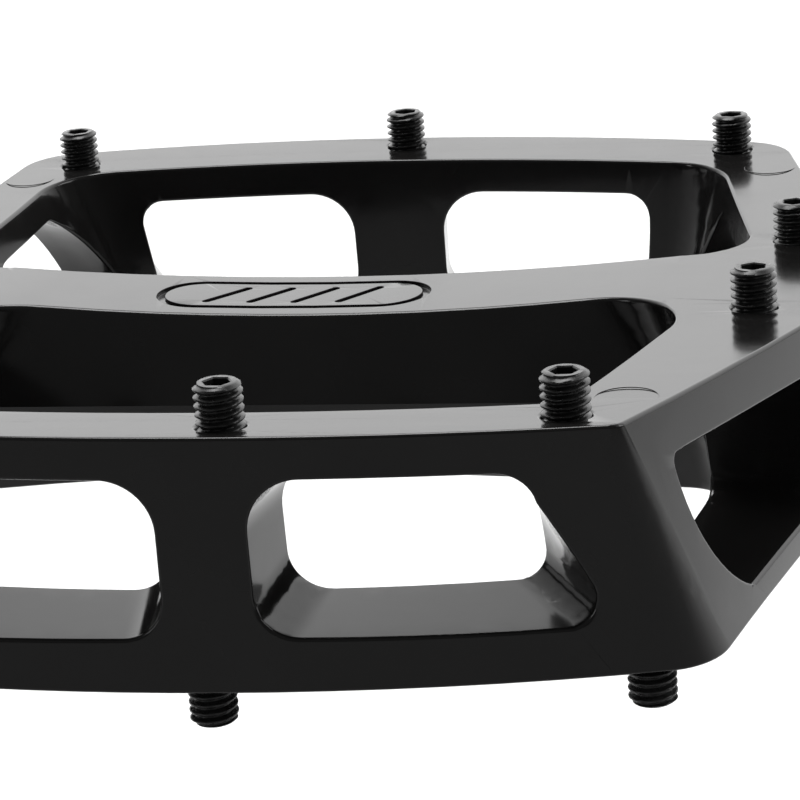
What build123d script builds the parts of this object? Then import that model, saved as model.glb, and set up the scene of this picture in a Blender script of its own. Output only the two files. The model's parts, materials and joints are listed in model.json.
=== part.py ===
from build123d import *
from math import cos, pi, sin, sqrt
import os

# Flat bicycle pedal, in millimetres. The axle lies along X, outboard is +X and up is +Z.
# The origin is on the axle axis, where the spindle's shoulder meets the crank arm.
# The body is the same either way up: half a turn about X gives the same outline.

OVERSHOOT = 1.0             # how far a cutter runs past the face it opens

# Spindle, along X from the crank shoulder
THREAD_R = 7.144            # 9/16 inch major diameter, 20 threads per inch
THREAD_LENGTH = 13.5
THREAD_CHAMFER = 0.8
COLLAR_R = 9.0
COLLAR_END = 8.0
WRENCH_SIZE = 15.0
FLAT_START = 1.8
FLAT_END = 7.2
NECK_R = 7.6
NECK_END = 9.0
JOURNAL_R = 6.0
JOURNAL_END = 24.0
SHANK_R = 4.5
SHANK_START = 27.0
TIP_R = 2.975               # M6 thread for the lock nut
TIP_END = 96.2
TIP_CHAMFER = 0.5
HEX_KEY_SIZE = 6.0
HEX_KEY_DEPTH = 6.0

# Platform, measured from its own centre
PLATFORM_X = 57.0           # platform centre, from the crank shoulder
RAIL_HEIGHT = 10.8          # half height at the front and back edges
END_HEIGHT = 9.3            # half height over the axle at both ends
RAIL_REACH = 50.0           # axle to the outermost point of a rail
RAIL_BOW_R = 182.0          # plan radius of the front and back faces
END_X = 46.8
END_HALF = 12.75
END_CORNER_R = 14.0
SPARE_HEIGHT = 11.6         # half height of the blank before its faces are dished
DISH_SPARE = 5.0
DISH_R = RAIL_REACH**2 / (2 * (RAIL_HEIGHT - END_HEIGHT))

# Each rail is short on one face of the pedal and long on the other. The opening behind a
# rail is bounded by the rail, by two slanted sides that bend at the end's y, and by the spine.
# One arc fills the corner from the spine to the bend, less the room the bend's own arc needs.
SHORT_RAIL = {
    "centre": -1.0,
    "half": 33.67,
    "apex": 0.0,
    "corner_r": 1.5,
    "width": 7.65,
    "opening_centre": -1.0,
    "opening_half": 28.5,
    "opening_corner_r": 3.0,
    "end_centre": -0.7,
    "end_half": 34.0,
    "end_y": 17.0,
    "bend_r": 8.0,
    "bend_room": 1.15,
}
LONG_RAIL = {
    "centre": -1.55,
    "half": 40.85,
    "apex": -6.0,
    "corner_r": 6.0,
    "width": 8.6,
    "opening_centre": -2.3,
    "opening_half": 35.6,
    "opening_corner_r": 8.0,
    "end_centre": -0.5,
    "end_half": 38.7,
    "end_y": 12.0,
    "bend_r": 1.0,
    "bend_room": 0.25,
}

# Spine over the axle
SPINE_HALF = 9.2            # half width at the axle's height
SPINE_DRAFT = 0.366         # narrowing per millimetre of height
SPINE_MID_HEIGHT = 7.7
SPINE_DISH_R = 318.0
SPINE_CUT_HALF = 16.0

# Windows through the front and back rails, at two distances from the axle. The near wall is
# measured from the post between the pair; the far end slants from a short reach to a long one.
WINDOW_OUTER = {
    "y": 49.3,
    "near": 3.8,
    "top": 7.15,
    "near_floor": -6.0,
    "far_floor": -6.7,
    "short": 25.8,
    "long": 34.6,
}
WINDOW_INNER = {
    "y": 42.0,
    "near": 4.85,
    "top": 6.75,
    "near_floor": -5.1,
    "far_floor": -5.3,
    "short": 25.4,
    "long": 27.8,
}
WINDOW_MARGIN = 5.0         # the cutter's overshoot at both ends
WINDOW_NEAR_TOP_R = 4.4
WINDOW_NEAR_FLOOR_R = 3.5
WINDOW_SHORT_R = 3.9
WINDOW_LONG_R = 2.55
FRONT_POST = -0.25
BACK_POST = -1.75

# Windows through the four slanted sides: distance along the side, then height
SIDE_TOP_START = (4.4, 6.3)
SIDE_TOP_END = (31.0, 4.9)
SIDE_LOW_END = (29.0, -6.9)
SIDE_LOW_START = (13.5, -7.6)
SIDE_BEND = (6.0, -0.3)
SIDE_CORNER_R = 2.5
SIDE_TIP_R = 0.8
SIDE_INSET = 1.35
SIDE_WALL = 11.0
SIDE_MARGIN = 3.0

# Ornament engraved in the spine: a capsule with slanted bars
MOTIF_X = -3.5
MOTIF_LENGTH = 26.0
MOTIF_WIDTH = 8.6
MOTIF_LINE = 0.8
MOTIF_DEPTH = 0.45
MOTIF_BARS = 4
MOTIF_BAR_PITCH = 4.2
MOTIF_BAR_SLANT = 35.0
MOTIF_BAR_LENGTH = 6.0

# Traction pins: M4 socket set screws, 8 mm long
PIN_R = 2.0
PIN_LENGTH = 8.0
PIN_STAND = 3.65            # how far a pin stands out of the platform
PIN_CHAMFER = 0.3
PIN_SOCKET = 2.0
PIN_SOCKET_DEPTH = 2.2
PIN_HOLE_SPARE = 0.3
PIN_SPOTS = {
    "front_middle": (1.27, -46.4),
    "front_outboard": (28.24, -43.95),
    "front_inboard": (-28.9, -43.9),
    "back_middle": (-1.27, 47.0),
    "back_outboard": (33.77, 42.65),
    "back_inboard": (-36.31, 42.65),
    "outboard_front": (40.2, -11.6),
    "outboard_back": (42.3, 10.4),
    "inboard_front": (-40.2, -11.6),
    "inboard_back": (-42.3, 10.4),
}
OPPOSITE = {"front": "back", "back": "front"}

# Bores along the axle, from the crank shoulder
SEAL_END = 12.6
FLANGE_END = 13.4
BUSH_END = 25.4
BUSH_R = 7.0
COUNTERBORE_R = 7.8
MID_BORE_R = 5.6
SEAT_START = 78.8
CAP_START = 98.8
RUNNING_CLEARANCE = 0.04

# Cartridge bearings, 7 x 14 x 5 mm
BEARING_BORE_R = 3.5
BEARING_R = 7.0
BEARING_WIDTH = 5.0
INNER_RACE_R = 4.6
OUTER_RACE_R = 5.95
PITCH_R = 5.25
GROOVE_R = 1.05
BALL_R = 0.95
BALL_COUNT = 8
POCKET_R = 1.0
CAGE_HALF = 0.28
CAGE_START = 0.15
CAGE_END = 1.6
SHIELD_R = 6.15
SHIELD_BORE_R = 4.7
SHIELD_INSET = 0.15
SHIELD_THICKNESS = 0.3

# Washers, nut, seal and end cap
INBOARD_WASHER_R = 7.4
INBOARD_WASHER_THICKNESS = 0.6
SEAL_LIP_CLEARANCE = 0.05
SEAL_WALL = 0.7
SEAL_WEB = 0.8
SEAL_LIP = 0.5
SEAL_LIP_INSET = 0.6
NUT_WASHER_R = 5.2
NUT_WASHER_THICKNESS = 0.8
NUT_SIZE = 10.0
NUT_WIDTH = 5.0
NUT_BEVEL = 0.5
NUT_BEVEL_LENGTH = 0.4
CAP_SOCKET = 6.0
CAP_SOCKET_DEPTH = 3.0
CAP_THREAD_R = 7.75
CAP_RIM = 1.4
RING_GROOVE_R = 6.65
RING_X = 101.0
RING_R = 0.55
RING_GROOVE_WIDTH = 1.4


def blended(short_share):
    """Rail values part way between the long and the short form."""
    return {key: value + short_share * (SHORT_RAIL[key] - value) for key, value in LONG_RAIL.items()}


def bow(x, apex, reach):
    """Distance of a bowed rail face from the axle, at x."""
    return reach - RAIL_BOW_R + sqrt(RAIL_BOW_R**2 - (x - apex) ** 2)


def rounded(outline, corners):
    """The face inside a closed list of edges, with the named corners rounded."""
    face = make_face(outline)
    for point, radius in corners:
        face = fillet(face.vertices().sort_by_distance(Vector(*point))[0], radius)
    return face.face()


def rail_arc(left, right, apex, reach, side):
    """The bowed edge from one rail corner to the other."""
    middle = (left[0] + right[0]) / 2
    return ThreePointArc(left, (middle, side * bow(middle, apex, reach)), right)


def body_outline(z):
    """The platform's outside at one height."""
    top_share = (z + RAIL_HEIGHT) / (2 * RAIL_HEIGHT)
    corners = {}
    front, back = blended(top_share), blended(1 - top_share)
    for side, rail in ((-1, front), (1, back)):
        for end in (-1, 1):
            x = rail["centre"] + end * rail["half"]
            corners[side, end] = (x, side * bow(x, rail["apex"], RAIL_REACH))
    front_left, front_right = corners[-1, -1], corners[-1, 1]
    back_left, back_right = corners[1, -1], corners[1, 1]
    end_points = [(END_X, -END_HALF), (END_X, END_HALF), (-END_X, END_HALF), (-END_X, -END_HALF)]
    edges = Curve() + [
        Line(front_right, end_points[0]),
        Line(end_points[0], end_points[1]),
        Line(end_points[1], back_right),
        rail_arc(back_right, back_left, back["apex"], RAIL_REACH, 1),
        Line(back_left, end_points[2]),
        Line(end_points[2], end_points[3]),
        Line(end_points[3], front_left),
        rail_arc(front_left, front_right, front["apex"], RAIL_REACH, -1),
    ]
    corner_list = [(point, front["corner_r"]) for point in (front_right, front_left)]
    corner_list += [(point, back["corner_r"]) for point in (back_right, back_left)]
    corner_list += [(point, END_CORNER_R) for point in end_points]
    return Pos(PLATFORM_X, 0, z) * rounded(edges, corner_list)


def opening_outline(z, side):
    """One large opening beside the spine, at one height. side is -1 in front, 1 behind."""
    top_share = (z + RAIL_HEIGHT) / (2 * RAIL_HEIGHT)
    rail = blended(top_share if side < 0 else 1 - top_share)
    spine_y = side * (SPINE_HALF - SPINE_DRAFT * abs(z))
    reach = RAIL_REACH - rail["width"]
    right_x = rail["opening_centre"] + rail["opening_half"]
    left_x = rail["opening_centre"] - rail["opening_half"]
    right = (right_x, side * bow(right_x, rail["apex"], reach))
    left = (left_x, side * bow(left_x, rail["apex"], reach))
    right_bend = (rail["end_centre"] + rail["end_half"], side * rail["end_y"])
    left_bend = (rail["end_centre"] - rail["end_half"], side * rail["end_y"])
    right_spine = (right_bend[0], spine_y)
    left_spine = (left_bend[0], spine_y)
    edges = Curve() + [
        rail_arc(left, right, rail["apex"], reach, side),
        Line(right, right_bend),
        Line(right_bend, right_spine),
        Line(right_spine, left_spine),
        Line(left_spine, left_bend),
        Line(left_bend, left),
    ]
    corner_list = [(point, rail["opening_corner_r"]) for point in (left, right)]
    corner_list += [(point, rail["bend_r"]) for point in (left_bend, right_bend)]
    spine_r = rail["end_y"] - rail["bend_room"] - abs(spine_y)
    corner_list += [(point, spine_r) for point in (left_spine, right_spine)]
    return Pos(PLATFORM_X, 0, z) * rounded(edges, corner_list)


def dish_cutter(radius, low_z, half_span, half_width):
    """A block with a bowed underside, for cutting a shallow dish along its own X."""
    sagitta = radius - sqrt(radius**2 - half_span**2)
    top_z = 2 * SPARE_HEIGHT
    outline = Curve() + [
        ThreePointArc((-half_span, low_z + sagitta), (0, low_z), (half_span, low_z + sagitta)),
        Line((half_span, low_z + sagitta), (half_span, top_z)),
        Line((half_span, top_z), (-half_span, top_z)),
        Line((-half_span, top_z), (-half_span, low_z + sagitta)),
    ]
    return extrude(Plane.XZ * make_face(outline), half_width, both=True)


def dishes():
    """What the dished faces take off the top of the blank."""
    whole = Rot(0, 0, 90) * dish_cutter(DISH_R, END_HEIGHT, RAIL_REACH + DISH_SPARE, END_X + DISH_SPARE)
    spine = dish_cutter(SPINE_DISH_R, SPINE_MID_HEIGHT, END_X, SPINE_CUT_HALF)
    return Pos(PLATFORM_X, 0, 0) * whole, Pos(PLATFORM_X, 0, 0) * spine


def both_faces(shape):
    """A cutter for the top and its half-turn copy for the underside."""
    return [shape, Rot(180, 0, 0) * shape]


def window_quad(side, y, post):
    """One window's outline at a distance from the axle, slanted at its end away from the post."""
    share = (y - WINDOW_INNER["y"]) / (WINDOW_OUTER["y"] - WINDOW_INNER["y"])
    size = {key: inner + share * (WINDOW_OUTER[key] - inner) for key, inner in WINDOW_INNER.items()}
    near = post + size["near"]
    far = [(size["short"], WINDOW_SHORT_R), (size["long"], WINDOW_LONG_R)]
    (reach_top, far_top_r), (reach_floor, far_floor_r) = far[::-side]
    corners = [
        ((near, size["top"]), WINDOW_NEAR_TOP_R),
        ((reach_top, size["top"]), far_top_r),
        ((reach_floor, size["far_floor"]), far_floor_r),
        ((near, size["near_floor"]), WINDOW_NEAR_FLOOR_R),
    ]
    face = rounded(Polyline(*[point for point, _ in corners], close=True), corners)
    return Plane((PLATFORM_X, side * y, 0), x_dir=(1, 0, 0), z_dir=(0, -1, 0)) * face


def rail_window(side, post):
    """Cutter for the outboard window of a rail, larger on its outer side."""
    stations = (WINDOW_OUTER["y"] + WINDOW_MARGIN, WINDOW_INNER["y"] - WINDOW_MARGIN)
    return loft([window_quad(side, y, post) for y in stations], ruled=True)


def side_window(side, end):
    """Cutter for the window in one slanted side of the platform."""
    rail = blended(0.5)
    start_x = rail["centre"] + end * rail["half"]
    start = Vector(start_x, bow(start_x, rail["apex"], RAIL_REACH))
    along = (Vector(END_X, END_HALF) - Vector(abs(start_x), start.Y)).normalized()
    faces = []
    for depth in (-SIDE_MARGIN, SIDE_WALL):
        inset = SIDE_INSET * depth / SIDE_WALL
        top_start = (SIDE_TOP_START[0] + inset, SIDE_TOP_START[1] - inset)
        top_end = (SIDE_TOP_END[0] - inset, SIDE_TOP_END[1] - inset)
        low_end = (SIDE_LOW_END[0] - inset, SIDE_LOW_END[1] + inset)
        low_start = (SIDE_LOW_START[0] + inset / 2, SIDE_LOW_START[1] + inset)
        bend = (SIDE_BEND[0] + inset, SIDE_BEND[1])
        edges = Curve() + [
            Line(top_start, top_end),
            Line(top_end, low_end),
            Line(low_end, low_start),
            ThreePointArc(low_start, bend, top_start),
        ]
        corners = [(top_end, SIDE_CORNER_R), (low_end, SIDE_CORNER_R)]
        corners += [(top_start, SIDE_TIP_R), (low_start, SIDE_TIP_R)]
        face = rounded(edges, corners)
        inward = Vector(along.Y, -along.X)
        origin = (abs(start_x) + inward.X * depth, -(start.Y + inward.Y * depth), 0)
        plane = Plane(origin, x_dir=(along.X, -along.Y, 0), z_dir=(-inward.X, inward.Y, 0))
        faces.append(plane * face)
    cutter = loft(faces, ruled=True)
    if side > 0:
        cutter = Rot(180, 0, 0) * cutter
    if end < 0:
        cutter = mirror(cutter, Plane.YZ)
    return Pos(PLATFORM_X, 0, 0) * cutter


def engraving():
    """Cutter for the shallow ornament along the spine's top."""
    capsule = SlotOverall(MOTIF_LENGTH, MOTIF_WIDTH)
    inside = SlotOverall(MOTIF_LENGTH - 2 * MOTIF_LINE, MOTIF_WIDTH - 2 * MOTIF_LINE)
    lines = capsule - inside
    for number in range(MOTIF_BARS):
        x = (number - (MOTIF_BARS - 1) / 2) * MOTIF_BAR_PITCH
        lines += Pos(x, 0) * Rot(0, 0, 90 - MOTIF_BAR_SLANT) * SlotOverall(MOTIF_BAR_LENGTH, MOTIF_LINE)
    prism = Pos(MOTIF_X, 0, SPINE_MID_HEIGHT - OVERSHOOT) * extrude(lines, SPARE_HEIGHT)
    floor = dish_cutter(SPINE_DISH_R, SPINE_MID_HEIGHT - MOTIF_DEPTH, END_X, SPINE_CUT_HALF)
    return Pos(PLATFORM_X, 0, 0) * (prism & floor)


def rod(radius, start, end):
    """A cylinder on the axle's axis between two stations."""
    return Pos((start + end) / 2, 0, 0) * Rot(0, 90, 0) * Cylinder(radius, end - start)


def ring(inner, outer, start, end):
    """A tube on the axle's axis between two stations."""
    return rod(outer, start, end) - rod(inner, start - OVERSHOOT, end + OVERSHOOT)


def hex_bar(size, start, end):
    """A hexagonal bar on the axle's axis, by its size across flats."""
    outline = RegularPolygon(size / sqrt(3), 6)
    return Pos(start, 0, 0) * Rot(0, 90, 0) * extrude(outline, end - start)


def turned(*points):
    """A solid turned about the axle's axis from points given as station and radius."""
    return revolve(make_face(Polyline(*points, close=True)), Axis.X)


def surface_height(y):
    """Height of the dished platform face at a distance from the axle."""
    return END_HEIGHT + DISH_R - sqrt(DISH_R**2 - y**2)


def pin_base(x, y):
    """Where a pin's axis leaves the platform's top."""
    return Pos(PLATFORM_X + x, y, surface_height(y))


def pin_holes():
    """Cutters for the ten threaded pin holes in the top."""
    depth = PIN_LENGTH - PIN_STAND + PIN_HOLE_SPARE
    hole = Pos(0, 0, OVERSHOOT - depth / 2) * Cylinder(PIN_R, depth + 2 * OVERSHOOT)
    return [pin_base(x, y) * hole for x, y in PIN_SPOTS.values()]


def axle_bores():
    """Cutters for the stepped bore through the platform."""
    outboard_face = PLATFORM_X + END_X
    return [
        rod(COUNTERBORE_R, PLATFORM_X - END_X - OVERSHOOT, FLANGE_END),
        rod(BUSH_R, FLANGE_END, BUSH_END),
        rod(MID_BORE_R, BUSH_END, SEAT_START),
        rod(BEARING_R, SEAT_START, CAP_START),
        rod(COUNTERBORE_R, CAP_START, outboard_face + OVERSHOOT),
    ]


def platform():
    """The cast body: two bowed rails, four slanted sides and the spine, in one piece."""
    body = loft([body_outline(-SPARE_HEIGHT), body_outline(SPARE_HEIGHT)], ruled=True)
    cut_z = SPARE_HEIGHT + OVERSHOOT
    for side in (-1, 1):
        body -= loft([opening_outline(z, side) for z in (-cut_z, 0, cut_z)], ruled=True)
    for dish in dishes():
        for cutter in both_faces(dish):
            body -= cutter
    for side, post in ((-1, FRONT_POST), (1, BACK_POST)):
        window = rail_window(side, post)
        body -= window
        body -= Pos(2 * (PLATFORM_X + post), 0, 0) * mirror(window, Plane.YZ)
        for end in (-1, 1):
            body -= side_window(side, end)
    for cutter in axle_bores():
        body -= cutter
    for shape in pin_holes() + [engraving()]:
        for cutter in both_faces(shape):
            body -= cutter
    return body


def spindle():
    """The axle, from its crank thread to the stub for the lock nut."""
    shaft = turned(
        (-THREAD_LENGTH, 0),
        (-THREAD_LENGTH, THREAD_R - THREAD_CHAMFER),
        (-THREAD_LENGTH + THREAD_CHAMFER, THREAD_R),
        (0, THREAD_R),
        (0, COLLAR_R),
        (COLLAR_END, COLLAR_R),
        (COLLAR_END, NECK_R),
        (NECK_END, NECK_R),
        (NECK_END, JOURNAL_R),
        (JOURNAL_END, JOURNAL_R),
        (SHANK_START, SHANK_R),
        (SEAT_START, SHANK_R),
        (SEAT_START, BEARING_BORE_R),
        (bearing_stack_end() - TIP_CHAMFER, BEARING_BORE_R),
        (bearing_stack_end() - TIP_CHAMFER, TIP_R),
        (TIP_END - TIP_CHAMFER, TIP_R),
        (TIP_END, TIP_R - TIP_CHAMFER),
        (TIP_END, 0),
    )
    for side in (-1, 1):
        flat = Box(FLAT_END - FLAT_START, 4 * COLLAR_R, COLLAR_R)
        shaft -= Pos((FLAT_START + FLAT_END) / 2, 0, side * (WRENCH_SIZE + COLLAR_R) / 2) * flat
    return shaft - hex_bar(HEX_KEY_SIZE, -THREAD_LENGTH - OVERSHOOT, -THREAD_LENGTH + HEX_KEY_DEPTH)


def bearing_stack_end():
    """Station of the outer face of the second cartridge bearing."""
    return SEAT_START + 2 * BEARING_WIDTH


def inboard_bushing():
    """Flanged plain bush at the crank end."""
    bore = JOURNAL_R + RUNNING_CLEARANCE
    return turned(
        (SEAL_END, bore),
        (SEAL_END, COUNTERBORE_R),
        (FLANGE_END, COUNTERBORE_R),
        (FLANGE_END, BUSH_R),
        (BUSH_END, BUSH_R),
        (BUSH_END, bore),
    )


def axle_seal():
    """Rubber lip seal in the mouth of the crank-end bore."""
    start = PLATFORM_X - END_X
    lip = JOURNAL_R + SEAL_LIP_CLEARANCE
    wall = COUNTERBORE_R - SEAL_WALL
    web = start + SEAL_WEB
    lip_end = SEAL_END - SEAL_LIP_INSET
    return turned(
        (start, lip),
        (start, COUNTERBORE_R),
        (SEAL_END, COUNTERBORE_R),
        (SEAL_END, wall),
        (web, wall),
        (web, lip + SEAL_WALL),
        (lip_end, lip + SEAL_LIP),
        (lip_end, lip),
    )


def bearing_parts(start):
    """The pieces of one cartridge bearing whose inboard face is at the given station."""
    end = start + BEARING_WIDTH
    middle = (start + end) / 2
    groove = Pos(middle, 0, 0) * Rot(0, 90, 0) * Torus(PITCH_R, GROOVE_R)
    seat = SHIELD_INSET + SHIELD_THICKNESS
    shields = [
        ring(SHIELD_BORE_R, SHIELD_R, start + SHIELD_INSET, start + seat),
        ring(SHIELD_BORE_R, SHIELD_R, end - seat, end - SHIELD_INSET),
    ]
    outer = ring(OUTER_RACE_R, BEARING_R, start, end) - groove
    outer -= rod(SHIELD_R, start - OVERSHOOT, start + seat)
    outer -= rod(SHIELD_R, end - seat, end + OVERSHOOT)
    cage = ring(PITCH_R - CAGE_HALF, PITCH_R + CAGE_HALF, middle + CAGE_START, middle + CAGE_END)
    balls = []
    for number in range(BALL_COUNT):
        angle = 2 * pi * number / BALL_COUNT
        place = Pos(middle, PITCH_R * cos(angle), PITCH_R * sin(angle))
        balls.append(place * Sphere(BALL_R))
        cage -= place * Sphere(POCKET_R)
    return {
        "outer_race": outer,
        "inner_race": ring(BEARING_BORE_R, INNER_RACE_R, start, end) - groove,
        "balls": Compound(children=balls),
        "cage": cage,
        "inboard_shield": shields[0],
        "outboard_shield": shields[1],
    }


def lock_nut():
    """Hexagonal nut on the spindle's stub."""
    start = bearing_stack_end() + NUT_WASHER_THICKNESS
    end = start + NUT_WIDTH
    corner = NUT_SIZE / sqrt(3)
    bevelled = turned(
        (start, 0),
        (start, corner - NUT_BEVEL),
        (start + NUT_BEVEL_LENGTH, corner),
        (end - NUT_BEVEL_LENGTH, corner),
        (end, corner - NUT_BEVEL),
        (end, 0),
    )
    return (hex_bar(NUT_SIZE, start, end) & bevelled) - rod(TIP_R, start - OVERSHOOT, end + OVERSHOOT)


def end_cap():
    """Screwed plug over the outboard bearings, with a key socket and a ring groove."""
    end = PLATFORM_X + END_X
    cap = rod(CAP_THREAD_R, CAP_START, end - CAP_RIM) + rod(COUNTERBORE_R, end - CAP_RIM, end)
    half = RING_GROOVE_WIDTH / 2
    cap -= ring(RING_GROOVE_R, COUNTERBORE_R + OVERSHOOT, RING_X - half, RING_X + half)
    return cap - hex_bar(CAP_SOCKET, end - CAP_SOCKET_DEPTH, end + OVERSHOOT)


def cap_ring():
    """Rubber ring between the end cap and its bore."""
    return Pos(RING_X, 0, 0) * Rot(0, 90, 0) * Torus(RING_GROOVE_R + RING_R, RING_R)


def traction_pin():
    """A socket set screw standing on its base, which is at the origin."""
    tip = PIN_STAND
    screw = Pos(0, 0, tip - PIN_LENGTH / 2) * Cylinder(PIN_R, PIN_LENGTH)
    rims = screw.edges().filter_by(GeomType.CIRCLE)
    screw = chamfer(rims, PIN_CHAMFER)
    socket = extrude(RegularPolygon(PIN_SOCKET / sqrt(3), 6), PIN_SOCKET_DEPTH + OVERSHOOT)
    return screw - Pos(0, 0, tip - PIN_SOCKET_DEPTH) * socket


def pins():
    """All twenty traction pins by name, ten in each face."""
    screw = traction_pin()
    placed = {}
    for spot, (x, y) in PIN_SPOTS.items():
        top_pin = pin_base(x, y) * screw
        under_spot = "_".join(OPPOSITE.get(word, word) for word in spot.split("_"))
        placed["pin_top_" + spot] = top_pin
        placed["pin_under_" + under_spot] = Rot(180, 0, 0) * top_pin
    return placed


def all_parts():
    """Every node of the pedal by name."""
    stack_end = bearing_stack_end()
    parts = {
        "platform": platform(),
        "spindle": spindle(),
        "inboard_washer": ring(JOURNAL_R, INBOARD_WASHER_R, NECK_END, NECK_END + INBOARD_WASHER_THICKNESS),
        "axle_seal": axle_seal(),
        "inboard_bushing": inboard_bushing(),
        "nut_washer": ring(TIP_R, NUT_WASHER_R, stack_end, stack_end + NUT_WASHER_THICKNESS),
        "lock_nut": lock_nut(),
        "end_cap": end_cap(),
        "cap_ring": cap_ring(),
    }
    for bearing, start in (("inner", SEAT_START), ("outer", SEAT_START + BEARING_WIDTH)):
        for piece, shape in bearing_parts(start).items():
            parts[bearing + "_bearing_" + piece] = shape
    parts.update(pins())
    return parts


os.makedirs("parts", exist_ok=True)
for node, shape in all_parts().items():
    export_step(shape, "parts/" + node + ".step")
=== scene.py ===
import json
from math import cos, pi, radians, sin, sqrt, tau

import bmesh
import bpy
from mathutils import Matrix, Vector


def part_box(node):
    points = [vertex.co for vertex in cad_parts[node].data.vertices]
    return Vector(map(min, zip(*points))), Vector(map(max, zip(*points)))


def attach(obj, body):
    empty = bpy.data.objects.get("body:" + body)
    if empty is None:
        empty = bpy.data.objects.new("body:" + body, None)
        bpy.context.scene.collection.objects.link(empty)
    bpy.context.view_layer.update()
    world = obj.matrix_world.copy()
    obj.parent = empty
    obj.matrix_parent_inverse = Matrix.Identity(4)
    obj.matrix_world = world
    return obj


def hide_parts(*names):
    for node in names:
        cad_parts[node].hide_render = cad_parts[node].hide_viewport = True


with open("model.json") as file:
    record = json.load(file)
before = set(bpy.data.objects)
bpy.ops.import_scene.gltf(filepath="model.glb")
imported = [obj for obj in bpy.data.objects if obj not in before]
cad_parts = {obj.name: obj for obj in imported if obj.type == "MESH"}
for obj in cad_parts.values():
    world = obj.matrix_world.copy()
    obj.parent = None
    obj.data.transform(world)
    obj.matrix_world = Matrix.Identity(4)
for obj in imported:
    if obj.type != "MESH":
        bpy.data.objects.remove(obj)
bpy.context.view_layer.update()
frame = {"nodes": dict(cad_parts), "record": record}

# Flat bicycle pedal: the visual model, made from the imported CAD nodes. Lengths are in metres.
MM = 0.001

platform_low, platform_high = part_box("platform")
CENTRE = (platform_low + platform_high) / 2

# Camera: aimed past the platform's centre, turned to the right of it and rolled a little
VIEW_YAW = radians(11.974)
VIEW_ELEVATION = radians(17.778)
VIEW_ROLL = radians(4.184)
VIEW_DISTANCE = 286.949 * MM
VIEW_RIGHT = 5.955 * MM
VIEW_UP = -2.454 * MM
LENS = 138.08
SENSOR = 36.0
CLIP = (0.01, 50)

# Cast body: the radius of its painted edges
CAST_EDGE_R = 0.32 * MM
CAST_EDGE_STEPS = 4
SHARP_ANGLE = radians(45)
SMOOTH_ANGLE = radians(30)
MERGE_GAP = 1e-6

# Ornament in the spine's dished faces, whose edges are rounded less
MOTIF_X = -3.5 * MM
MOTIF_AREA = (14.2 * MM, 5.3 * MM)
MOTIF_LEAST_Z = 6.8 * MM
MOTIF_EDGE_SHARE = 0.16

# Round marks of the casting tool's ejectors, in millimetres from the platform's centre on the upper face.
# The under face has the same marks, half a turn about the axle away. Their height follows the face's dish.
MARK_SPOTS = ((32.3, -38.9), (-29.8, -38.9), (38.1, 35.7), (-40.4, 37.4))
MARK_R = 2.55 * MM
MARK_LINE_R = 0.045 * MM
MARK_POINTS_AROUND = 96
MARK_POINTS_ACROSS = 10
END_HEIGHT = 9.3 * MM
RAIL_HEIGHT = 10.8 * MM
RAIL_REACH = 50.0 * MM
DISH_R = RAIL_REACH**2 / (2 * (RAIL_HEIGHT - END_HEIGHT))

# Screw threads
RING_POINTS = 48
PIN_R = 2.0 * MM
PIN_PITCH = 0.7 * MM
PIN_THREAD_DEPTH = 0.4 * MM
PIN_CHAMFER = 0.3 * MM
PIN_SOCKET = 2.0 * MM
PIN_SOCKET_DEPTH = 2.2 * MM
ROWS_PER_TURN = 10
CRANK_PITCH = 1.27 * MM
CRANK_R = 7.144 * MM
CRANK_THREAD_DEPTH = 0.75 * MM
CRANK_CHAMFER = 0.8 * MM
CRANK_SOCKET = 6.0 * MM
CRANK_SOCKET_DEPTH = 6.0 * MM
THREAD_OVERLAP = 0.6 * MM
THREAD_FLATS = (0.12, 0.88)     # where the V's side starts and ends, from crest to root
CHAMFER_SLOPE = 1.4
SOCKET_LIP_SHARE = 0.35         # the socket's own chamfer, as a share of the screw's
DRILL_POINT_SHARE = 0.25        # how deep the socket's cone goes, as a share of the key's size
SCREW_SMOOTH_ANGLE = radians(40)
TURN_PER_PIN = radians(67)

# Finishes: values run from low to high over this span of a noise texture, except the paint's roughness
NOISE_SPAN = (0.3, 0.7)
BROAD_SHARE = 0.12              # the colour noise's scale, as a share of the grain's
BROAD_DETAIL = 4.0
GRAIN_DETAIL = 3.0
GRAIN_BUMP = 0.35
FINISH_IOR = 1.45
ALONG_AXLE = (0.2, 1, 1)
AROUND_AXLE = (6, 0.4, 0.4)

# Gloss paint: each noise has a scale and a detail, and each bump also a strength and a depth
PAINT_IOR = 1.36
PAINT_COLOURS = ((0.0055, 0.0053, 0.0052), (0.0095, 0.0092, 0.0090))
PAINT_TONE = (60.0, 4.0)
HAZE_NOISE = (220.0, 5.0)
HAZE_ROUGHNESS = ((0.3, 0.10), (0.75, 0.17))
ORANGE_PEEL = ((520.0, 2.0), 0.10, 0.05 * MM)
FINE_GRIT = ((3600.0, 2.0), 0.05, 0.01 * MM)

# Studio: the floor is far enough down for the platform to turn on its axle
FLOOR_SIZE = 8.0
FLOOR_DROP = 62.0 * MM
SURROUND_STRENGTH = 2.35
SURROUND_FRONT = 0.08       # brightness in front, as a share of that behind
SURROUND_RISE = (0.05, 0.6)  # where the surround turns from dark in front to bright behind
SURROUND_BANDS = ((0.2, 0.76), (0.36, 1.0), (0.66, 1.0), (0.9, 0.4))
# Painted shade on the floor: its colour is dark in front of the pedal and pale behind
FLOOR_PAINTED_SHADE_FADE = (-0.10, 0.03)  # where the floor turns from dark in front to pale behind
FLOOR_GREYS_WITH_PAINTED_SHADE = (0.30, 0.84)
FLOOR_ROUGHNESS = 0.7
SOFTBOXES = {
    "softbox_top": ((-0.15, 0.2, 1.0), (0.5, 0.5), 9.0),
    "softbox_side": ((0.75, 0.05, 0.5), (0.4, 0.4), 2.5),
    "strip_left": ((-0.62, -0.4, 0.14), (0.09, 0.3), 0.4),
}


def smoothstep(low, high, value):
    """0 below low, 1 above high and smooth between."""
    share = min(1.0, max(0.0, (value - low) / (high - low)))
    return share * share * (3 - 2 * share)


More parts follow.
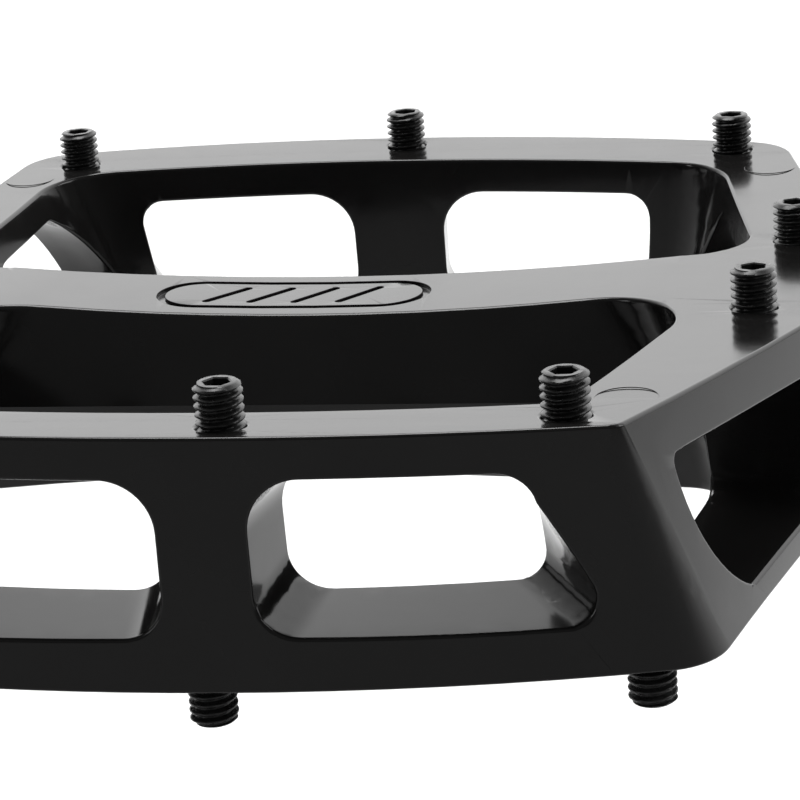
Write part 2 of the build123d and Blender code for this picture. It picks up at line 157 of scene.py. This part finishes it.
def new_object(name, mesh):
    """An object in the scene, in the row frame."""
    made = bpy.data.objects.new(name, mesh)
    bpy.context.scene.collection.objects.link(made)
    return made


# ---------------------------------------------------------------- materials

def new_material(name):
    """A material with its node tree, shader and links."""
    material = bpy.data.materials.new(name)
    material.use_nodes = True
    tree = material.node_tree
    return material, tree, tree.nodes["Principled BSDF"]


def noise(tree, scale, detail, stretch=None):
    """A noise texture in object space, stretched along an axis if asked."""
    coordinate = tree.nodes.new("ShaderNodeTexCoord")
    texture = tree.nodes.new("ShaderNodeTexNoise")
    texture.inputs["Scale"].default_value = scale
    texture.inputs["Detail"].default_value = detail
    source = coordinate.outputs["Object"]
    if stretch:
        mapping = tree.nodes.new("ShaderNodeMapping")
        mapping.inputs["Scale"].default_value = stretch
        tree.links.new(source, mapping.inputs["Vector"])
        source = mapping.outputs["Vector"]
    tree.links.new(source, texture.inputs["Vector"])
    return texture.outputs["Fac"]


def ramp(tree, value, *stops):
    """Maps a value through rising stops, each a position and a colour or grey."""
    node = tree.nodes.new("ShaderNodeValToRGB")
    for _ in stops[2:]:
        node.color_ramp.elements.new(1.0)
    for element, (position, colour) in zip(node.color_ramp.elements, stops):
        element.position = position
        grey = (colour,) * 3 if isinstance(colour, float) else colour
        element.color = (*grey, 1.0)
    tree.links.new(value, node.inputs["Fac"])
    return node.outputs["Color"]


def bump(tree, height, strength, distance, normal=None):
    """Bump from a height, on top of another normal if there is one."""
    node = tree.nodes.new("ShaderNodeBump")
    node.inputs["Strength"].default_value = strength
    node.inputs["Distance"].default_value = distance
    tree.links.new(height, node.inputs["Height"])
    if normal:
        tree.links.new(normal, node.inputs["Normal"])
    return node.outputs["Normal"]


def finish_material(name, colours, roughness, grain, metallic=0.0):
    """A material whose colour, roughness and surface vary over fine noise.

    colours and roughness are low and high values; grain is scale, bump distance and stretch."""
    material, tree, shader = new_material(name)
    shader.inputs["Metallic"].default_value = metallic
    shader.inputs["IOR"].default_value = FINISH_IOR
    scale, distance, stretch = grain
    broad = noise(tree, scale * BROAD_SHARE, BROAD_DETAIL)
    fine = noise(tree, scale, GRAIN_DETAIL, stretch)
    colour = ramp(tree, broad, *zip(NOISE_SPAN, colours))
    gloss = ramp(tree, fine, *zip(NOISE_SPAN, roughness))
    tree.links.new(colour, shader.inputs["Base Color"])
    tree.links.new(gloss, shader.inputs["Roughness"])
    tree.links.new(bump(tree, fine, GRAIN_BUMP, distance), shader.inputs["Normal"])
    return material


def paint_material():
    """Gloss black paint on a casting, with orange peel and a little haze."""
    material, tree, shader = new_material("gloss_black_paint")
    shader.inputs["IOR"].default_value = PAINT_IOR
    colour = ramp(tree, noise(tree, *PAINT_TONE), *zip(NOISE_SPAN, PAINT_COLOURS))
    tree.links.new(colour, shader.inputs["Base Color"])
    haze = ramp(tree, noise(tree, *HAZE_NOISE), *HAZE_ROUGHNESS)
    tree.links.new(haze, shader.inputs["Roughness"])
    surface = None
    for settings, strength, depth in (ORANGE_PEEL, FINE_GRIT):
        surface = bump(tree, noise(tree, *settings), strength, depth, surface)
    tree.links.new(surface, shader.inputs["Normal"])
    return material


def all_materials():
    """Each record slot's finish."""
    return {
        "body_paint": paint_material(),
        "cap_paint": finish_material(
            "satin_black_anodised", (0.010, 0.022), (0.28, 0.4), (2500, 0.01 * MM, ALONG_AXLE), 0.3
        ),
        "spindle_steel": finish_material(
            "coated_chromoly", (0.07, 0.13), (0.24, 0.4), (3000, 0.01 * MM, AROUND_AXLE), 1.0
        ),
        "pin_steel": finish_material(
            "black_oxide_steel", (0.008, 0.022), (0.22, 0.38), (2600, 0.012 * MM, None), 0.35
        ),
        "bearing_steel": finish_material(
            "ground_bearing_steel", (0.66, 0.78), (0.06, 0.16), (3000, 0.003 * MM, AROUND_AXLE), 1.0
        ),
        "shield_steel": finish_material(
            "pressed_sheet_steel", (0.5, 0.64), (0.22, 0.36), (2200, 0.008 * MM, None), 1.0
        ),
        "zinc_steel": finish_material(
            "zinc_plated_steel",
            ((0.5, 0.51, 0.54), (0.66, 0.67, 0.69)),
            (0.2, 0.36),
            (2400, 0.01 * MM, None),
            1.0,
        ),
        "bronze": finish_material(
            "sintered_bronze",
            ((0.42, 0.25, 0.11), (0.6, 0.38, 0.19)),
            (0.34, 0.55),
            (3200, 0.02 * MM, None),
            1.0,
        ),
        "cage_polymer": finish_material(
            "moulded_polyamide", ((0.42, 0.37, 0.26), (0.5, 0.45, 0.33)), (0.38, 0.5), (2000, 0.01 * MM, None)
        ),
        "rubber": finish_material(
            "nitrile_rubber", (0.012, 0.022), (0.55, 0.75), (2600, 0.02 * MM, None)
        ),
    }


MATERIALS = all_materials()
NODE_SLOT = {row["node"]: row["material_slot"] for row in frame["record"]["subparts"]}


def dress(piece, slot_name):
    """Gives a piece the one finish of the given record slot."""
    piece.data.materials.clear()
    piece.data.materials.append(MATERIALS[slot_name])
    return piece


def plain_copy(node):
    """A copy of a node's mesh, without the normals that came with the file."""
    mesh = frame["nodes"][node].data.copy()
    stored = mesh.attributes.get("custom_normal")
    if stored:
        mesh.attributes.remove(stored)
    return mesh


# ---------------------------------------------------------------- cast body

def in_motif_area(point):
    """Whether a point is on either dished face of the spine, around the ornament."""
    x, y = point.x - CENTRE.x - MOTIF_X, point.y
    return abs(x) < MOTIF_AREA[0] and abs(y) < MOTIF_AREA[1] and abs(point.z) > MOTIF_LEAST_Z


def edge_weight(edge):
    """How wide an edge's rounding is, as a share of the casting's radius."""
    if not edge.is_manifold or edge.calc_face_angle(0.0) < SHARP_ANGLE:
        return 0.0
    if all(in_motif_area(v.co) for v in edge.verts):
        return MOTIF_EDGE_SHARE
    return 1.0


def cast_body():
    """The platform with the soft edges of a painted casting."""
    mesh = plain_copy("platform")
    work = bmesh.new()
    work.from_mesh(mesh)
    bmesh.ops.remove_doubles(work, verts=work.verts, dist=MERGE_GAP)
    weights = work.edges.layers.float.new("bevel_weight_edge")
    for edge in work.edges:
        edge[weights] = edge_weight(edge)
    work.to_mesh(mesh)
    work.free()
    mesh.transform(Matrix.Scale(1 / MM, 4))     # the bevel is more exact in millimetres
    piece = new_object("platform_body", mesh)
    bevel = piece.modifiers.new("edge_rounding", "BEVEL")
    bevel.limit_method = "WEIGHT"
    bevel.width = CAST_EDGE_R / MM
    bevel.segments = CAST_EDGE_STEPS
    bevel.use_clamp_overlap = False
    bevel.miter_outer = "MITER_ARC"
    rounded = piece.evaluated_get(bpy.context.evaluated_depsgraph_get())
    shape = bpy.data.meshes.new_from_object(rounded)
    piece.modifiers.clear()
    shape.transform(Matrix.Scale(MM, 4))
    piece.data = shape
    shape.shade_smooth()
    shape.set_sharp_from_angle(angle=SMOOTH_ANGLE)
    weighted = piece.modifiers.new("face_weighted_normals", "WEIGHTED_NORMAL")
    weighted.keep_sharp = True
    return piece


def ejector_marks():
    """Thin raised rings that the casting tool's ejectors leave, on both faces."""
    work = bmesh.new()
    for side in (1, -1):
        for spot in MARK_SPOTS:
            x, y = spot[0] * MM, spot[1] * MM
            height = END_HEIGHT + DISH_R - sqrt(DISH_R**2 - y * y)
            place = Vector((CENTRE.x + x, side * y, side * (height - MARK_LINE_R / 2)))
            add_ring(work, place, MARK_R, MARK_LINE_R)
    mesh = bpy.data.meshes.new("ejector_marks")
    work.to_mesh(mesh)
    work.free()
    mesh.shade_smooth()
    return new_object("ejector_marks", mesh)


def add_ring(work, place, radius, line_radius):
    """Adds a ring of round wire, lying flat, to a bmesh."""
    rows = []
    for turn in range(MARK_POINTS_AROUND):
        angle = tau * turn / MARK_POINTS_AROUND
        row = []
        for step in range(MARK_POINTS_ACROSS):
            slope = tau * step / MARK_POINTS_ACROSS
            reach = radius + line_radius * cos(slope)
            offset = Vector((reach * cos(angle), reach * sin(angle), line_radius * sin(slope)))
            row.append(work.verts.new(place + offset))
        rows.append(row)
    skin(work, rows + rows[:1])


def skin(work, rows):
    """Joins closed rings of vertices, in order, with quads."""
    for first, second in zip(rows, rows[1:]):
        count = len(first)
        for i in range(count):
            j = (i + 1) % count
            work.faces.new((first[i], first[j], second[j], second[i]))


# ---------------------------------------------------------------- threads

def hex_reach(angle, size):
    """Distance from a hexagon's centre to its side, in a direction."""
    turn = (angle + pi / 6) % (pi / 3) - pi / 6
    return size / 2 / cos(turn)


def thread_reach(angle, z, radius, depth, pitch):
    """Radius of a V thread with narrow flats at its crest and root."""
    phase = (z / pitch - angle / tau) % 1.0
    wave = abs(2 * phase - 1)
    return radius - depth * smoothstep(*THREAD_FLATS, wave)


def add_row(work, angles, reach, z):
    """Adds a closed row of vertices around Z, each at its own radius."""
    return [work.verts.new((r * cos(a), r * sin(a), z)) for r, a in zip(reach, angles)]


def screw_mesh(name, radius, length, pitch, depth, chamfer, socket, socket_depth):
    """A threaded screw along Z: its socketed end at z = 0 and its body below."""
    work = bmesh.new()
    angles = [tau * i / RING_POINTS for i in range(RING_POINTS)]
    row_count = round(length / pitch * ROWS_PER_TURN)
    rows = []
    for row in range(row_count + 1):
        z = -length + length * row / row_count
        end_gap = min(z + length, -z)
        limit = radius - max(0.0, chamfer - end_gap) * CHAMFER_SLOPE
        reach = [min(thread_reach(a, z, radius, depth, pitch), limit) for a in angles]
        rows.append(add_row(work, angles, reach, z))
    lip = chamfer * SOCKET_LIP_SHARE
    for grow, z in ((lip, 0.0), (0.0, -lip), (0.0, -socket_depth)):
        reach = [hex_reach(a, socket) + grow for a in angles]
        rows.append(add_row(work, angles, reach, z))
    skin(work, rows)
    for ring_row, z in ((rows[0], -length), (rows[-1], -socket_depth - socket * DRILL_POINT_SHARE)):
        middle = work.verts.new((0, 0, z))
        for i in range(RING_POINTS):
            work.faces.new((ring_row[i], middle, ring_row[(i + 1) % RING_POINTS]))
    bmesh.ops.recalc_face_normals(work, faces=work.faces)
    mesh = bpy.data.meshes.new(name)
    work.to_mesh(mesh)
    work.free()
    mesh.shade_smooth()
    mesh.set_sharp_from_angle(angle=SCREW_SMOOTH_ANGLE)
    return mesh


def threaded_pins():
    """A threaded set screw in place of each plain pin, each turned differently."""
    nodes = sorted(n for n in frame["nodes"] if n.startswith("pin_"))
    low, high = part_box(nodes[0])
    mesh = screw_mesh(
        "set_screw",
        PIN_R,
        high.z - low.z,
        PIN_PITCH,
        PIN_THREAD_DEPTH,
        PIN_CHAMFER,
        PIN_SOCKET,
        PIN_SOCKET_DEPTH,
    )
    for number, node in enumerate(nodes):
        low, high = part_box(node)
        middle = (low + high) / 2
        upright = node.startswith("pin_top")
        end = Vector((middle.x, middle.y, high.z if upright else low.z))
        turn = Matrix.Rotation(number * TURN_PER_PIN, 4, "Z")
        flip = Matrix.Identity(4) if upright else Matrix.Rotation(pi, 4, "X")
        placed = mesh.copy()
        placed.transform(Matrix.Translation(end) @ flip @ turn)
        piece = new_object("threaded_" + node, placed)
        dress(piece, "pin_steel")
        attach(piece, "platform")
        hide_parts(node)


def spindle_pieces():
    """The spindle's own shaft and collar, and its crank thread with a real helix."""
    mesh = plain_copy("spindle")
    work = bmesh.new()
    work.from_mesh(mesh)
    bmesh.ops.remove_doubles(work, verts=work.verts, dist=MERGE_GAP)
    stub = [f for f in work.faces if f.calc_center_median().x < -MERGE_GAP]
    bmesh.ops.delete(work, geom=stub, context="FACES")
    rim = [e for e in work.edges if e.is_boundary]
    bmesh.ops.holes_fill(work, edges=rim)
    bmesh.ops.recalc_face_normals(work, faces=work.faces)
    work.to_mesh(mesh)
    work.free()
    mesh.shade_smooth()
    mesh.set_sharp_from_angle(angle=SMOOTH_ANGLE)
    shaft = new_object("spindle_shaft", mesh)

    low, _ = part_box("spindle")
    thread = screw_mesh(
        "spindle_thread",
        CRANK_R,
        -low.x + THREAD_OVERLAP,
        CRANK_PITCH,
        CRANK_THREAD_DEPTH,
        CRANK_CHAMFER,
        CRANK_SOCKET,
        CRANK_SOCKET_DEPTH,
    )
    thread.transform(Matrix.Translation((low.x, 0, 0)) @ Matrix.Rotation(-pi / 2, 4, "Y"))
    for piece in (shaft, new_object("spindle_thread", thread)):
        dress(piece, "spindle_steel")
        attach(piece, "spindle")
        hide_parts("spindle")


# ---------------------------------------------------------------- stage

def floor_material_with_painted_shade():
    """Matt paper with painted shade: its colour is darker in front of the pedal, where the camera doesn't see
    it, and pale behind.
    """
    material, tree, shader = new_material("pale_floor_with_painted_shade")
    coordinate = tree.nodes.new("ShaderNodeTexCoord")
    split = tree.nodes.new("ShaderNodeSeparateXYZ")
    tree.links.new(coordinate.outputs["Object"], split.inputs["Vector"])
    share = tree.nodes.new("ShaderNodeMapRange")
    share.inputs["From Min"].default_value, share.inputs["From Max"].default_value = FLOOR_PAINTED_SHADE_FADE
    tree.links.new(split.outputs["Y"], share.inputs["Value"])
    # Painted shade: the floor's colour darkens towards the front
    shade = ramp(tree, share.outputs["Result"], *zip((0.0, 1.0), FLOOR_GREYS_WITH_PAINTED_SHADE))
    tree.links.new(shade, shader.inputs["Base Color"])
    shader.inputs["Roughness"].default_value = FLOOR_ROUGHNESS
    return material


def studio():
    """A floor below the pedal, pale behind and with painted shade in front, a bright surround behind, and
    soft boxes.
    """
    half = FLOOR_SIZE / 2
    height = CENTRE.z - FLOOR_DROP
    mesh = bpy.data.meshes.new("floor")
    corners = [(x * half, y * half, height) for x, y in ((-1, -1), (1, -1), (1, 1), (-1, 1))]
    mesh.from_pydata(corners, [], [(0, 1, 2, 3)])
    floor = new_object("floor", mesh)
    floor.data.materials.append(floor_material_with_painted_shade())

    world = bpy.data.worlds.new("studio")
    bpy.context.scene.world = world
    world.use_nodes = True
    tree = world.node_tree
    direction = tree.nodes.new("ShaderNodeTexCoord")
    split = tree.nodes.new("ShaderNodeSeparateXYZ")
    tree.links.new(direction.outputs["Generated"], split.inputs["Vector"])
    back = ramp(tree, split.outputs["Y"], *zip(SURROUND_RISE, (SURROUND_FRONT, 1.0)))
    band = ramp(tree, split.outputs["Z"], *SURROUND_BANDS)
    product = tree.nodes.new("ShaderNodeMix")
    product.data_type = "RGBA"
    product.blend_type = "MULTIPLY"
    product.inputs["Factor"].default_value = 1.0
    # The node's colour sockets have numbers, because its A, B and Result names repeat for each data type
    tree.links.new(back, product.inputs[6])
    tree.links.new(band, product.inputs[7])
    tree.links.new(product.outputs[2], tree.nodes["Background"].inputs["Color"])
    tree.nodes["Background"].inputs["Strength"].default_value = SURROUND_STRENGTH

    for name, (place, size, power) in SOFTBOXES.items():
        light = bpy.data.lights.new(name, "AREA")
        light.shape = "RECTANGLE"
        light.size, light.size_y = size
        light.energy = power
        lamp = new_object(name, light)
        lamp.location = CENTRE + Vector(place)
        lamp.rotation_euler = (CENTRE - lamp.location).to_track_quat("-Z", "Y").to_euler()


def main_camera():
    """The camera at the viewing angle, with a level horizon turned by the roll."""
    flat = cos(VIEW_ELEVATION)
    ahead = Vector((-sin(VIEW_YAW) * flat, cos(VIEW_YAW) * flat, -sin(VIEW_ELEVATION)))
    level = Vector((cos(VIEW_YAW), sin(VIEW_YAW), 0))
    above = level.cross(ahead)
    right = cos(VIEW_ROLL) * level - sin(VIEW_ROLL) * above
    up = sin(VIEW_ROLL) * level + cos(VIEW_ROLL) * above
    place = CENTRE - ahead * VIEW_DISTANCE + right * VIEW_RIGHT + up * VIEW_UP
    data = bpy.data.cameras.new("camera")
    data.lens = LENS
    data.sensor_width = SENSOR
    data.clip_start, data.clip_end = CLIP
    camera = new_object("camera", data)
    camera.matrix_world = Matrix((right, up, -ahead)).transposed().to_4x4()
    camera.location = place
    bpy.context.scene.camera = camera


for node, obj in frame["nodes"].items():
    obj.data.materials.clear()
    obj.data.materials.append(MATERIALS[NODE_SLOT[node]])

body = dress(cast_body(), "body_paint")
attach(body, "platform")
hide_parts("platform")
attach(dress(ejector_marks(), "body_paint"), "platform")
threaded_pins()
spindle_pieces()
studio()
main_camera()
bpy.context.scene.view_settings.view_transform = "Standard"
